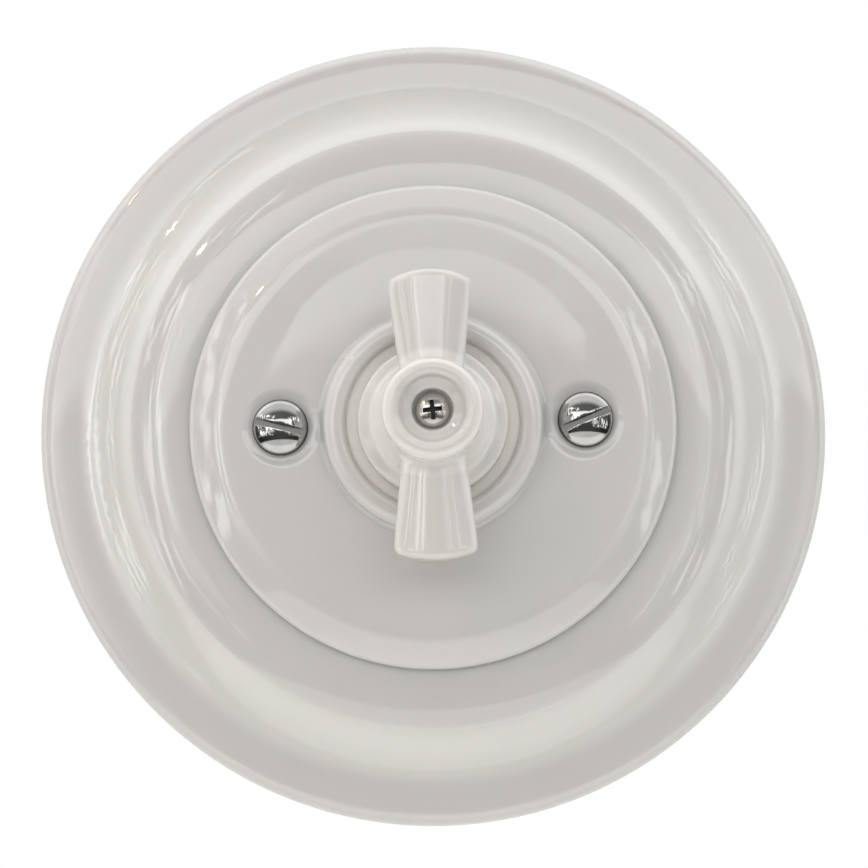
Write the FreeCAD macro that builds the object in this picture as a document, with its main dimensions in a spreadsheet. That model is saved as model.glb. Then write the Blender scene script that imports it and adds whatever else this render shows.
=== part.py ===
import FreeCAD, Part
import math
import os

import Sketcher
from FreeCAD import Placement, Rotation, Vector

# A wall-mounted rotary light switch with a porcelain frame, cover and knob.
#
# The origin lies on the switch axis, in the plane of the wall. +Z is up, +X is to the right
# and the room is on the -Y side. "Height" is measured from the wall plane towards the room.
# "Depth" is measured the other way, into the wall box. All sizes are in millimetres.

SIZES = {
    # Screw that holds the knob on the spindle
    "knob_screw_radius": 1.25,
    "knob_screw_grip": 9.8,
    "knob_screw_thread_room": 0.5,
    "knob_screw_head_radius": 2.1,
    "knob_screw_head_height": 1.2,
    "knob_screw_head_edge": 0.5,
    "knob_screw_cross_width": 0.55,
    "knob_screw_cross_length": 2.4,
    "knob_screw_cross_depth": 0.8,

    # Porcelain knob: radii outwards from its screw, heights upwards from its foot
    "knob_screw_head_room": 0.46,
    "knob_screw_hole_radius": 1.4,
    "knob_dish_width": 1.44,
    "knob_lip_rounding": 1.1,
    "knob_lip_flat": 0.15,
    "knob_waist_inset": 0.25,
    "knob_waist_rounding": 6.0,
    "knob_flank_spread": 1.4,
    "knob_flank_rounding": 1.6,
    "knob_shoulder_width": 1.94,
    "knob_skirt_rounding": 0.7,
    "knob_skirt_wall": 1.64,
    "knob_gap": 0.5,
    "knob_skirt_rise": 1.5,
    "knob_shoulder_rise": 0.9,
    "knob_flank_rise": 5.0,
    "knob_socket_depth": 7.9,
    "knob_socket_clearance": 0.05,
    "knob_web": 3.2,
    "knob_dish_depth": 1.4,
    "knob_dish_rise": 0.6,
    "knob_cup_depth": 1.2,
    "knob_hollow_depth": 0.8,
    "wing_reach": 11.75,
    "wing_root_distance": 2.0,
    "wing_root_width": 7.2,
    "wing_tip_width": 10.85,
    "wing_root_gap": 3.3,
    "wing_tip_gap": 3.1,
    "wing_root_thickness": 4.7,
    "wing_tip_thickness": 4.3,
    "wing_crown_rise": 2.1,
    "wing_end_bow": 1.2,
    "wing_corner_rounding": 1.0,
    "wing_end_rounding": 0.8,

    # Porcelain cover: radii outwards from the knob, heights upwards from the frame's seat
    "cover_centre_gap": 0.7,
    "knob_collar_gap": 1.46,
    "collar_outer_rounding": 1.6,
    "collar_inner_rounding": 0.9,
    "collar_bead_flat": 0.4,
    "collar_foot_rounding": 0.7,
    "collar_valley_rounding": 0.25,
    "collar_bead_rise": 1.2,
    "collar_valley_rise": 2.1,
    "screw_dish_radius": 5.4,
    "screw_dish_bite": 0.05,
    "screw_dish_seat_radius": 3.8,
    "screw_dish_depth": 0.55,
    "cover_lip_gap": 2.55,
    "cover_lip_width": 3.0,
    "cover_lip_drop": 2.4,
    "cover_lip_clearance": 0.3,
    "cover_seat_width": 2.7,
    "cover_rim_height": 1.5,
    "cover_rim_rounding": 1.2,
    "cover_bevel_width": 3.8,
    "cover_bevel_rounding": 5.0,
    "cover_face_rise": 3.5,
    "cover_face_fall": 0.15,
    "cover_face_crown_radius": 300.0,
    "cover_crease_inset": 4.3,
    "cover_wall": 3.9,
    "cover_hollow_inset": 0.8,
    "cover_hollow_wall": 3.8,

    # Cover screws and the pillars that take them
    "cover_screw_radius": 1.95,
    "cover_screw_tip_gap": 2.35,
    "cover_screw_head_radius": 3.5,
    "cover_screw_head_edge": 0.8,
    "cover_screw_head_height": 2.1,
    "cover_screw_slot_width": 0.85,
    "cover_screw_slot_depth": 1.1,
    "cover_screw_hole_radius": 2.15,
    "screw_tip_chamfer": 0.3,
    "thread_clearance": 0.05,
    "pillar_radius": 3.0,
    "pillar_gap": 0.5,
    "pillar_spigot_wall": 0.2,
    "pillar_edge_chamfer": 0.3,

    # Steel mounting plate
    "box_screw_spacing": 60.0,
    "box_slot_radius": 2.1,
    "box_slot_length": 8.0,
    "plate_slot_margin": 2.5,
    "plate_thickness": 1.2,
    "plate_edge_rounding": 0.3,
    "plate_neck_clearance": 0.2,

    # Porcelain frame: radii outwards from the cover and the plate, heights from the wall
    "frame_seat_height": 10.0,
    "frame_seat_margin": 0.9,
    "frame_plate_clearance": 1.1,
    "frame_crest_margin": 0.6,
    "frame_ring_drop": 1.5,
    "frame_ring_crown_radius": 16.0,
    "frame_crest_rounding": 1.0,
    "frame_cove_width": 3.6,
    "frame_cove_drop": 3.1,
    "frame_cove_rounding": 10.5,
    "frame_shelf_width": 8.2,
    "frame_shelf_drop": 0.7,
    "frame_shelf_crown_radius": 35.0,
    "frame_edge_rounding": 2.0,
    "frame_foot_inset": 0.25,
    "frame_foot_height": 1.6,
    "frame_ring_wall": 4.6,
    "frame_recess_slope": 6.0,

    # Brass spindle
    "spindle_square": 4.9,
    "spindle_journal_margin": 0.035,
    "spindle_journal_reach": 1.2,
    "spindle_collar_width": 1.1,
    "spindle_collar_thickness": 1.6,
    "spindle_end_play": 0.3,
    "spindle_arbor": 4.4,
    "spindle_rear_radius": 2.0,
    "spindle_rear_length": 2.5,
    "running_clearance": 0.05,

    # Cap over the base, with the front bearing in its neck
    "cap_neck_wall": 3.45,
    "cap_neck_height": 6.0,
    "cap_neck_chamfer": 0.5,
    "cap_flange_thickness": 2.5,
    "cap_flange_margin": 3.5,
    "cap_clearance": 0.1,

    # Index cam and its two leaf springs
    "cam_side": 10.8,
    "cam_corner_rounding": 2.2,
    "cam_thickness": 4.8,
    "arbor_clearance": 0.05,
    "spring_thickness": 0.4,
    "spring_width": 3.6,
    "spring_clearance": 0.05,
    "spring_end_overlap": 0.2,
    "spring_slot_clearance": 0.1,

    # Contact carrier, blade and ring: radii outwards from the arbor
    "carrier_wall": 1.0,
    "carrier_flange_margin": 0.675,
    "carrier_flange_thickness": 2.3,
    "carrier_ring_thickness": 1.8,
    "carrier_tail_length": 6.2,
    "blade_thickness": 1.0,
    "blade_ring_overlap": 1.9,
    "blade_lobe_overlap": 2.3,
    "blade_lobe_width": 8.0,
    "blade_edge_chamfer": 0.2,
    "blade_gap": 0.5,

    # Spring jaws, terminal blocks, clamp screws and rivets: radii outwards from the blade
    "jaw_carrier_gap": 0.4,
    "jaw_ring_gap": 0.7,
    "jaw_thickness": 0.6,
    "jaw_width": 5.0,
    "jaw_gap": 0.05,
    "jaw_flare_length": 1.0,
    "jaw_flare_rise": 0.5,
    "jaw_foot_inset": 0.8,
    "block_jaw_gap": 1.0,
    "block_width": 7.0,
    "block_length": 8.25,
    "block_clearance": 0.2,
    "block_edge_chamfer": 0.3,
    "block_thread_wall": 1.75,
    "rivet_inset": 1.3,
    "rivet_radius": 0.8,
    "rivet_length": 4.0,
    "rivet_head_radius": 1.3,
    "rivet_head_height": 0.7,
    "rivet_head_edge": 0.2,
    "wire_wall": 0.65,
    "wire_bore_radius": 1.45,
    "wire_bore_length": 7.0,
    "wire_entry_radius": 2.3,
    "clamp_screw_rise": 3.0,
    "clamp_screw_radius": 1.5,
    "clamp_screw_tip_gap": 0.15,
    "clamp_screw_head_radius": 2.2,
    "clamp_screw_head_height": 1.5,
    "clamp_screw_head_edge": 1.1,
    "clamp_screw_head_gap": 0.3,
    "clamp_screw_slot_width": 0.6,
    "clamp_screw_slot_depth": 0.7,
    "clamp_access_clearance": 0.3,

    # Base, and the screws and nuts that hold it and the cap to the plate
    "base_wall": 2.0,
    "base_floor": 2.6,
    "base_edge_rounding": 1.2,
    "housing_screw_inset": 4.0,
    "housing_screw_radius": 1.5,
    "housing_screw_head_radius": 2.75,
    "housing_screw_head_height": 1.7,
    "housing_screw_head_edge": 0.8,
    "housing_screw_slot_width": 0.8,
    "housing_screw_slot_depth": 0.8,
    "housing_hole_radius": 1.7,
    "housing_nut_flats": 5.5,
    "housing_nut_thickness": 2.4,
    "housing_nut_clearance": 0.1,
}

# Angles in degrees, seen from the room, anticlockwise from +X
LEFT_SCREW_SLOT_ANGLE = -14.6
RIGHT_SCREW_SLOT_ANGLE = 20.8
KNOB_SCREW_CROSS_ANGLE = 5.0
HOUSING_SCREW_ANGLE = 135.0
TERMINAL_ANGLES = {"one": 0.0, "two": 90.0, "common": 270.0}

doc = FreeCAD.newDocument("rotary_switch")
sheet = doc.addObject("Spreadsheet::Sheet", "Sizes")
for row, (name, value) in enumerate(SIZES.items(), start=1):
    sheet.set("A%d" % row, name)
    sheet.set("B%d" % row, str(value))
    sheet.setAlias("B%d" % row, name)
doc.recompute()


class Size:
    """A length with the sheet formula behind it, so what is drawn from it stays bound to it."""

    def __init__(self, number, formula):
        self.number = float(number)
        self.formula = formula

    def __add__(self, other):
        other = as_size(other)
        return Size(self.number + other.number, "(%s + %s)" % (self.formula, other.formula))

    def __sub__(self, other):
        other = as_size(other)
        return Size(self.number - other.number, "(%s - %s)" % (self.formula, other.formula))

    def __mul__(self, other):
        other = as_size(other)
        return Size(self.number * other.number, "%s * %s" % (self.formula, other.formula))

    def __truediv__(self, other):
        other = as_size(other)
        return Size(self.number / other.number, "%s / (%s)" % (self.formula, other.formula))

    def __neg__(self):
        return Size(-self.number, "-(%s)" % self.formula)


def as_size(value):
    return value if isinstance(value, Size) else Size(value, "%.12g" % value)


def root(size):
    return Size(math.sqrt(size.number), "sqrt(%s)" % size.formula)


class Sheet:
    """The cells of the sheet as attributes."""

    def __init__(self):
        for cell, number in SIZES.items():
            setattr(self, cell, Size(number, "Sizes." + cell))


cell = Sheet()
ZERO = as_size(0)
pieces = []


def bind(feature, path, size):
    """Set one property of a feature from a size and keep it bound to the sheet."""
    feature.setExpression(path, as_size(size).formula)


def new_body(name):
    body = doc.addObject("PartDesign::Body", name)
    body.Label = name
    return body


def new_piece(name):
    """Start the body of one real piece that has a node of its own."""
    body = new_body(name)
    pieces.append(body)
    return body


def new_group(name, members):
    """Identical fasteners that share one node, each a solid of its own."""
    group = doc.addObject("Part::Compound", name)
    group.Label = name
    group.Links = members
    pieces.append(group)


def origin_feature(body, role):
    return next(item for item in body.Origin.OriginFeatures if item.Role == role)


def new_sketch(body, plane, offset=ZERO):
    """A sketch on a plane of the body's origin, moved along the plane's normal."""
    sketch = body.newObject("Sketcher::SketchObject", body.Name + "_sketch")
    sketch.AttachmentSupport = [(origin_feature(body, plane), "")]
    sketch.MapMode = "FlatFace"
    bind(sketch, "AttachmentOffset.Base.z", offset)
    return sketch


def place_point(sketch, item, end, across, up):
    """Tie one point of a sketch to the sketch's origin."""
    for kind, size in (("DistanceX", across), ("DistanceY", up)):
        size = as_size(size)
        number = sketch.addConstraint(Sketcher.Constraint(kind, -1, 1, item, end, size.number))
        sketch.setExpression("Constraints[%d]" % number, size.formula)


def set_radius(sketch, item, radius):
    number = sketch.addConstraint(Sketcher.Constraint("Radius", item, radius.number))
    sketch.setExpression("Constraints[%d]" % number, radius.formula)


def arc_between(start, end, radius):
    """The short arc that leaves start anticlockwise and reaches end."""
    chord = end - start
    rise = math.sqrt(radius ** 2 - (chord.Length / 2) ** 2)
    centre = (start + end) / 2 + Vector(-chord.y, chord.x, 0).normalize() * rise
    angles = [math.atan2(point.y - centre.y, point.x - centre.x) for point in (start, end)]
    return Part.ArcOfCircle(Part.Circle(centre, Vector(0, 0, 1), radius), *angles)


def draw_outline(sketch, corners):
    """A closed outline. A corner is (across, up), or (across, up, radius) where an arc that
    bends to the left leads to the next corner."""
    corners = [tuple(as_size(value) for value in corner) for corner in corners]
    points = [Vector(corner[0].number, corner[1].number, 0) for corner in corners]
    items = []
    for index, corner in enumerate(corners):
        start = points[index]
        end = points[(index + 1) % len(points)]
        if len(corner) == 3:
            items.append(sketch.addGeometry(arc_between(start, end, corner[2].number), False))
            set_radius(sketch, items[-1], corner[2])
        else:
            items.append(sketch.addGeometry(Part.LineSegment(start, end), False))
    for index, corner in enumerate(corners):
        before = items[index - 1]
        sketch.addConstraint(Sketcher.Constraint("Coincident", before, 2, items[index], 1))
        place_point(sketch, items[index], 1, corner[0], corner[1])


def draw_circle(sketch, across, up, radius):
    centre = Vector(as_size(across).number, as_size(up).number, 0)
    item = sketch.addGeometry(Part.Circle(centre, Vector(0, 0, 1), radius.number), False)
    place_point(sketch, item, 3, across, up)
    set_radius(sketch, item, radius)


def draw_box(sketch, left, right, bottom, top):
    draw_outline(sketch, [(left, bottom), (right, bottom), (right, top), (left, top)])


def draw_square(sketch, side):
    half = side / 2
    draw_box(sketch, -half, half, -half, half)


def draw_rounded_square(sketch, side, rounding):
    half = side / 2
    flat = half - rounding
    draw_outline(sketch, [
        (half, -flat), (half, flat, rounding), (flat, half), (-flat, half, rounding),
        (-half, flat), (-half, -flat, rounding), (-flat, -half), (flat, -half, rounding),
    ])


def draw_slot(sketch, near, far, radius):
    """A round-ended slot along the across direction, from near to far."""
    draw_outline(sketch, [
        (near + radius, -radius), (far - radius, -radius, radius), (far, 0, radius),
        (far - radius, radius), (near + radius, radius, radius), (near, 0, radius),
    ])


def draw_hexagon(sketch, across, up, flats):
    corner = flats / root(as_size(3))
    draw_outline(sketch, [
        (across + corner, up), (across + corner / 2, up + flats / 2),
        (across - corner / 2, up + flats / 2), (across - corner, up),
        (across - corner / 2, up - flats / 2), (across + corner / 2, up - flats / 2),
    ])


def turn(body, corners, kind="Revolution"):
    """Turn a profile of (radius, height) corners about the Y axis of the body. An arc to the
    next corner may follow as a third value."""
    sketch = new_sketch(body, "XY_Plane")
    draw_outline(sketch, [(radius, -as_size(height), *arc) for radius, height, *arc in corners])
    feature = body.newObject("PartDesign::" + kind, body.Name + "_turned")
    feature.Profile = sketch
    feature.ReferenceAxis = (sketch, ["V_Axis"])
    feature.Angle = 360
    doc.recompute()
    return feature


def pad(body, sketch, length, both_ways=False):
    """Thicken a sketch along its normal."""
    feature = body.newObject("PartDesign::Pad", body.Name + "_pad")
    feature.Profile = sketch
    bind(feature, "Length", length)
    if both_ways:
        feature.SideType = "Symmetric"
    doc.recompute()
    return feature


def pocket(body, sketch, depth, forwards=False):
    """Cut a sketch into the body, against its normal or along it, and make sure it cuts."""
    before = body.Shape.Volume
    feature = body.newObject("PartDesign::Pocket", body.Name + "_pocket")
    feature.Profile = sketch
    bind(feature, "Length", depth)
    feature.Reversed = forwards
    doc.recompute()
    if feature.Shape.Volume >= before:
        raise RuntimeError("%s cuts nothing" % feature.Name)
    return feature


def polar(body, features, count, span):
    """Repeat features about the Y axis of the body, over an angle."""
    pattern = body.newObject("PartDesign::PolarPattern", body.Name + "_pattern")
    pattern.Originals = features
    pattern.Axis = (origin_feature(body, "Y_Axis"), [""])
    pattern.Angle = span
    pattern.Occurrences = count
    body.Tip = pattern
    doc.recompute()
    return pattern


def edges_where(shape, wanted):
    """Names of the edges whose middle and kind pass a test."""
    names = []
    for index, edge in enumerate(shape.Edges, start=1):
        middle = edge.valueAt((edge.FirstParameter + edge.LastParameter) / 2)
        if wanted(edge, middle):
            names.append("Edge%d" % index)
    return names


def circle_edges(shape, circles):
    """Names of the edges that are circles about the Y axis with these (radius, height)."""
    def wanted(edge, middle):
        distance = math.hypot(middle.x, middle.z)
        return any(
            abs(distance - radius.number) < 1e-4 and abs(middle.y + as_size(height).number) < 1e-4
            for radius, height in circles
        )
    return edges_where(shape, wanted)


def dress(body, kind, names, size):
    """Round or chamfer edges of the newest feature."""
    if not names:
        raise RuntimeError("%s has no edge to dress" % body.Name)
    newest = body.Tip
    feature = body.newObject("PartDesign::" + kind, body.Name + "_" + kind.lower())
    feature.Base = (newest, names)
    bind(feature, "Radius" if kind == "Fillet" else "Size", size)
    doc.recompute()
    return feature


def round_circles(body, circles, radius):
    return dress(body, "Fillet", circle_edges(body.Shape, circles), radius)


def chamfer_circles(body, circles, size):
    return dress(body, "Chamfer", circle_edges(body.Shape, circles), size)


def spin(body, angle):
    """Turn a body about its Y axis, anticlockwise as seen from the room."""
    body.Placement = Placement(Vector(), Rotation(Vector(0, -1, 0), angle))


def set_at(body, radius, angle, height):
    """Move a body to a radius and an angle about the switch axis, and to a height."""
    bind(body, "Placement.Base.x", as_size(radius) * math.cos(math.radians(angle)))
    bind(body, "Placement.Base.y", -as_size(height))
    bind(body, "Placement.Base.z", as_size(radius) * math.sin(math.radians(angle)))


def domed_screw(body, shank_radius, length, head_radius, edge, crown):
    """A screw that points into the wall, with the seat of its head at the body's origin."""
    tip = cell.screw_tip_chamfer
    dome_radius = (head_radius * head_radius + crown * crown) / (crown * 2)
    turn(body, [
        (0, edge + crown, dome_radius),
        (head_radius, edge),
        (head_radius, 0),
        (shank_radius, 0),
        (shank_radius, tip - length),
        (shank_radius - tip, -length),
        (0, -length),
    ])


def head_slot(body, top, half_length, width, depth):
    """A straight slot cut down from the top of a screw head."""
    sketch = new_sketch(body, "XZ_Plane", top)
    draw_box(sketch, -half_length, half_length, -width / 2, width / 2)
    pocket(body, sketch, depth)


# Radii that several pieces share, from the knob's screw outwards to the edge of the frame

knob_dish_radius = cell.knob_screw_head_radius + cell.knob_screw_head_room
knob_cup_radius = knob_dish_radius + cell.knob_dish_width
knob_boss_radius = knob_cup_radius + cell.knob_lip_rounding * 2 + cell.knob_lip_flat
knob_waist_radius = knob_boss_radius - cell.knob_waist_inset
knob_flank_radius = knob_waist_radius + cell.knob_flank_spread
knob_skirt_radius = knob_flank_radius + cell.knob_shoulder_width
bead_inside_radius = knob_skirt_radius + cell.knob_collar_gap
collar_radius = (bead_inside_radius + cell.collar_inner_rounding + cell.collar_bead_flat
                 + cell.collar_outer_rounding)
screw_offset = collar_radius + cell.screw_dish_radius - cell.screw_dish_bite
cover_lip_inside = screw_offset + cell.pillar_radius + cell.cover_lip_gap
cover_lip_radius = cover_lip_inside + cell.cover_lip_width
frame_opening_radius = cover_lip_radius + cell.cover_lip_clearance
cover_radius = frame_opening_radius + cell.cover_seat_width
frame_seat_radius = cover_radius + cell.frame_seat_margin
box_slot_middle = cell.box_screw_spacing / 2
box_slot_reach = cell.box_slot_length / 2
plate_radius = box_slot_middle + box_slot_reach + cell.plate_slot_margin
frame_recess_radius = plate_radius + cell.frame_plate_clearance
frame_crest_radius = frame_recess_radius + cell.frame_crest_margin
frame_shelf_radius = frame_crest_radius + cell.frame_cove_width
frame_radius = frame_shelf_radius + cell.frame_shelf_width

# Heights above the wall plane

cover_face_height = cell.frame_seat_height + cell.cover_face_rise
cover_underside = cover_face_height - cell.cover_wall
screw_seat_height = cover_face_height - cell.screw_dish_depth
pillar_top = cover_underside - cell.pillar_gap
collar_valley_height = cover_face_height + cell.collar_valley_rise
knob_bottom_height = collar_valley_height + cell.knob_gap
knob_skirt_height = knob_bottom_height + cell.knob_skirt_rise
spindle_end_height = knob_bottom_height + cell.knob_socket_depth
knob_seat_height = spindle_end_height + cell.knob_web

# Radii of the mechanism, from the spindle outwards to the wall of the base

half_diagonal = root(as_size(2)) / 2
spindle_journal_radius = cell.spindle_square * half_diagonal + cell.spindle_journal_margin
cap_neck_radius = spindle_journal_radius + cell.running_clearance + cell.cap_neck_wall
carrier_square = cell.spindle_arbor + cell.carrier_wall * 2
carrier_flange_radius = carrier_square * half_diagonal + cell.carrier_flange_margin
jaw_common_reach = carrier_flange_radius + cell.jaw_carrier_gap
blade_ring_radius = jaw_common_reach + cell.blade_ring_overlap
jaw_output_reach = blade_ring_radius + cell.jaw_ring_gap
blade_radius = jaw_output_reach + cell.blade_lobe_overlap
base_cavity_radius = blade_radius + cell.blade_gap
web_outside = base_cavity_radius + cell.jaw_thickness
block_inner_radius = web_outside + cell.block_jaw_gap
rivet_circle_radius = block_inner_radius + cell.rivet_inset
wire_circle_radius = (rivet_circle_radius + cell.rivet_radius + cell.wire_wall
                      + cell.wire_bore_radius)
block_outer_radius = wire_circle_radius + cell.wire_bore_radius + cell.block_thread_wall
base_radius = block_outer_radius + cell.base_wall
housing_circle_radius = base_cavity_radius + cell.housing_screw_inset
housing_turn = math.radians(HOUSING_SCREW_ANGLE)
housing_across = housing_circle_radius * math.cos(housing_turn)
housing_up = housing_circle_radius * math.sin(housing_turn)
cap_flange_radius = housing_circle_radius + cell.cap_flange_margin

# Depths behind the wall plane

collar_depth = cell.cap_flange_thickness + cell.spindle_end_play
cam_depth = collar_depth + cell.spindle_collar_thickness
carrier_depth = cam_depth + cell.cam_thickness
blade_depth = carrier_depth + cell.carrier_flange_thickness
blade_back_depth = blade_depth + cell.blade_thickness
base_cavity_depth = (blade_back_depth + cell.carrier_ring_thickness
                     + cell.carrier_tail_length)
arbor_end_depth = base_cavity_depth - cell.spindle_end_play
jaw_back_depth = blade_back_depth + cell.jaw_gap + cell.jaw_thickness
block_back_depth = jaw_back_depth + cell.block_length
clamp_depth = block_back_depth - cell.clamp_screw_rise
base_depth = block_back_depth + cell.base_floor


# Outer frame. One porcelain ring, open in the middle and hollow behind, so that it clears
# the plate. It stands on the wall by its foot and is held by the rim of the cover.

frame = new_piece("outer_frame")
frame_underside = cell.frame_seat_height - cell.frame_ring_wall
frame_crest_height = cell.frame_seat_height - cell.frame_ring_drop
frame_shelf_height = frame_crest_height - cell.frame_cove_drop
frame_edge_height = frame_shelf_height - cell.frame_shelf_drop
frame_crest = (frame_crest_radius, frame_crest_height)
frame_shelf = (frame_shelf_radius, frame_shelf_height)
frame_edge = (frame_radius, frame_edge_height)
frame_foot_inside = frame_recess_radius + cell.frame_recess_slope
turn(frame, [
    (frame_opening_radius, frame_underside),
    (frame_opening_radius, cell.frame_seat_height),
    (frame_seat_radius, cell.frame_seat_height, cell.frame_ring_crown_radius),
    frame_crest,
    (*frame_shelf, cell.frame_shelf_crown_radius),
    frame_edge,
    (frame_radius, frame_edge_height - cell.frame_edge_rounding),
    (frame_radius - cell.frame_foot_inset, 0),
    (frame_foot_inside, 0),
    (frame_foot_inside, cell.frame_foot_height),
    (frame_recess_radius, frame_underside),
])
round_circles(frame, [frame_edge], cell.frame_edge_rounding)
round_circles(frame, [frame_shelf], cell.frame_cove_rounding)
round_circles(frame, [frame_crest], cell.frame_crest_rounding)


# Cover. One porcelain cap that rests on the frame's seat, with a lip inside the frame's
# opening, a beaded collar round the knob and a shallow dish under each screw head.

cover = new_piece("cover_plate")
cover_hole_radius = spindle_journal_radius + cell.cover_centre_gap
cover_hollow_radius = collar_radius - cell.cover_hollow_inset
cover_hollow_height = collar_valley_height - cell.cover_hollow_wall
cover_lip_bottom = cell.frame_seat_height - cell.cover_lip_drop
cover_rim_top = (cover_radius, cell.frame_seat_height + cell.cover_rim_height)
cover_crease_height = cover_face_height - cell.cover_face_fall
cover_bevel = (cover_radius - cell.cover_bevel_width, cover_crease_height)
cover_crease = (cover_bevel[0] - cell.cover_crease_inset, cover_crease_height)
bead_height = collar_valley_height + cell.collar_bead_rise
bead_inner_edge = (bead_inside_radius, bead_height)
bead_outer_edge = (collar_radius, bead_height)
valley_edge = (bead_inside_radius, collar_valley_height)
collar_foot = (collar_radius, cover_face_height)
turn(cover, [
    (cover_hole_radius, collar_valley_height),
    valley_edge,
    bead_inner_edge,
    bead_outer_edge,
    (*collar_foot, cell.cover_face_crown_radius),
    cover_crease,
    cover_bevel,
    cover_rim_top,
    (cover_radius, cell.frame_seat_height),
    (cover_lip_radius, cell.frame_seat_height),
    (cover_lip_radius, cover_lip_bottom),
    (cover_lip_inside, cover_lip_bottom),
    (cover_lip_inside, cover_underside),
    (cover_hollow_radius, cover_underside),
    (cover_hollow_radius, cover_hollow_height),
    (cover_hole_radius, cover_hollow_height),
])
round_circles(cover, [cover_rim_top], cell.cover_rim_rounding)
round_circles(cover, [cover_bevel], cell.cover_bevel_rounding)
round_circles(cover, [bead_outer_edge], cell.collar_outer_rounding)
round_circles(cover, [bead_inner_edge], cell.collar_inner_rounding)
round_circles(cover, [collar_foot], cell.collar_foot_rounding)
round_circles(cover, [valley_edge], cell.collar_valley_rounding)

sketch = new_sketch(cover, "XZ_Plane", cover_face_height)
draw_circle(sketch, screw_offset, 0, cell.screw_dish_radius)
dish = pocket(cover, sketch, cell.screw_dish_depth)
dish.setExpression("TaperAngle", "-atan((Sizes.screw_dish_radius - Sizes.screw_dish_seat_radius)"
                   " / Sizes.screw_dish_depth)")
sketch = new_sketch(cover, "XZ_Plane", cover_face_height)
draw_circle(sketch, screw_offset, 0, cell.cover_screw_hole_radius)
hole = pocket(cover, sketch, cell.cover_wall)
polar(cover, [dish, hole], 2, 360)


# Cover screws. Slotted screws with domed heads, through the cover into the pillars.

cover_screw_length = screw_seat_height - cell.plate_thickness - cell.cover_screw_tip_gap
cover_screw_crown = cell.cover_screw_head_height - cell.cover_screw_head_edge
for side, angle, slot_angle in (("left", 180.0, LEFT_SCREW_SLOT_ANGLE),
                                ("right", 0.0, RIGHT_SCREW_SLOT_ANGLE)):
    screw = new_piece("cover_screw_" + side)
    domed_screw(screw, cell.cover_screw_radius, cover_screw_length,
                cell.cover_screw_head_radius, cell.cover_screw_head_edge, cover_screw_crown)
    head_slot(screw, cell.cover_screw_head_height, cell.cover_screw_head_radius * 2,
              cell.cover_screw_slot_width, cell.cover_screw_slot_depth)
    spin(screw, slot_angle)
    set_at(screw, screw_offset, angle, screw_seat_height)


# Pillars. Turned brass posts, tapped right through and riveted into the plate by a spigot.

pillar_thread_radius = cell.cover_screw_radius + cell.thread_clearance
pillar_spigot_radius = pillar_thread_radius + cell.pillar_spigot_wall
for side, angle in (("left", 180.0), ("right", 0.0)):
    pillar = new_piece("pillar_" + side)
    turn(pillar, [
        (pillar_thread_radius, 0),
        (pillar_spigot_radius, 0),
        (pillar_spigot_radius, cell.plate_thickness),
        (cell.pillar_radius, cell.plate_thickness),
        (cell.pillar_radius, pillar_top),
        (pillar_thread_radius, pillar_top),
    ])
    chamfer_circles(pillar, [(cell.pillar_radius, pillar_top)], cell.pillar_edge_chamfer)
    set_at(pillar, screw_offset, angle, 0)


# Mounting plate. A round steel pressing that is screwed over the wall box through two of its
# four slots, and carries everything else.

plate = new_piece("mounting_plate")
sketch = new_sketch(plate, "XZ_Plane")
draw_circle(sketch, 0, 0, plate_radius)
draw_circle(sketch, 0, 0, cap_neck_radius + cell.plate_neck_clearance)
pad(plate, sketch, cell.plate_thickness)
round_circles(plate, [(plate_radius, cell.plate_thickness)], cell.plate_edge_rounding)
sketch = new_sketch(plate, "XZ_Plane", cell.plate_thickness)
draw_slot(sketch, box_slot_middle - box_slot_reach, box_slot_middle + box_slot_reach,
          cell.box_slot_radius)
box_slot = pocket(plate, sketch, cell.plate_thickness)
polar(plate, [box_slot], 4, 360)
sketch = new_sketch(plate, "XZ_Plane", cell.plate_thickness)
for side in (-1, 1):
    draw_circle(sketch, screw_offset * side, 0, pillar_spigot_radius + cell.thread_clearance)
    draw_circle(sketch, housing_across * side, housing_up * side, cell.housing_hole_radius)
pocket(plate, sketch, cell.plate_thickness)


# Base. A moulded cup that hangs behind the plate in the wall box. Its front recess takes the
# cap, its cavity the rotor, and three chambers the terminals, each with a gate for its jaw,
# a wire entry from behind and an access hole for its screw.

base = new_piece("switch_base")
sketch = new_sketch(base, "XZ_Plane", -base_depth)
draw_circle(sketch, 0, 0, base_radius)
pad(base, sketch, base_depth)
round_circles(base, [(base_radius, -base_depth)], cell.base_edge_rounding)
sketch = new_sketch(base, "XZ_Plane")
draw_circle(sketch, 0, 0, cap_flange_radius + cell.cap_clearance)
pocket(base, sketch, cell.cap_flange_thickness)
sketch = new_sketch(base, "XZ_Plane")
draw_circle(sketch, 0, 0, base_cavity_radius)
pocket(base, sketch, base_cavity_depth)
sketch = new_sketch(base, "XZ_Plane", -base_cavity_depth)
draw_circle(sketch, 0, 0, cell.spindle_rear_radius + cell.running_clearance)
pocket(base, sketch, cell.spindle_rear_length)

chamber_side = cell.block_width / 2 + cell.block_clearance
sketch = new_sketch(base, "XZ_Plane")
draw_box(sketch, -chamber_side, chamber_side, block_inner_radius - cell.block_clearance,
         block_outer_radius + cell.block_clearance)
chamber = pocket(base, sketch, block_back_depth)
gate_side = cell.jaw_width / 2 + cell.block_clearance
sketch = new_sketch(base, "XZ_Plane")
draw_box(sketch, -gate_side, gate_side, base_cavity_radius - cell.jaw_flare_length,
         block_inner_radius)
gate = pocket(base, sketch, jaw_back_depth + cell.block_clearance)
sketch = new_sketch(base, "XZ_Plane", -base_depth)
draw_circle(sketch, 0, wire_circle_radius, cell.wire_entry_radius)
wire_entry = pocket(base, sketch, base_depth - block_back_depth, forwards=True)
sketch = new_sketch(base, "XY_Plane", base_radius)
draw_circle(sketch, 0, clamp_depth, cell.clamp_screw_head_radius + cell.clamp_access_clearance)
access = pocket(base, sketch, base_radius - block_outer_radius)
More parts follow.
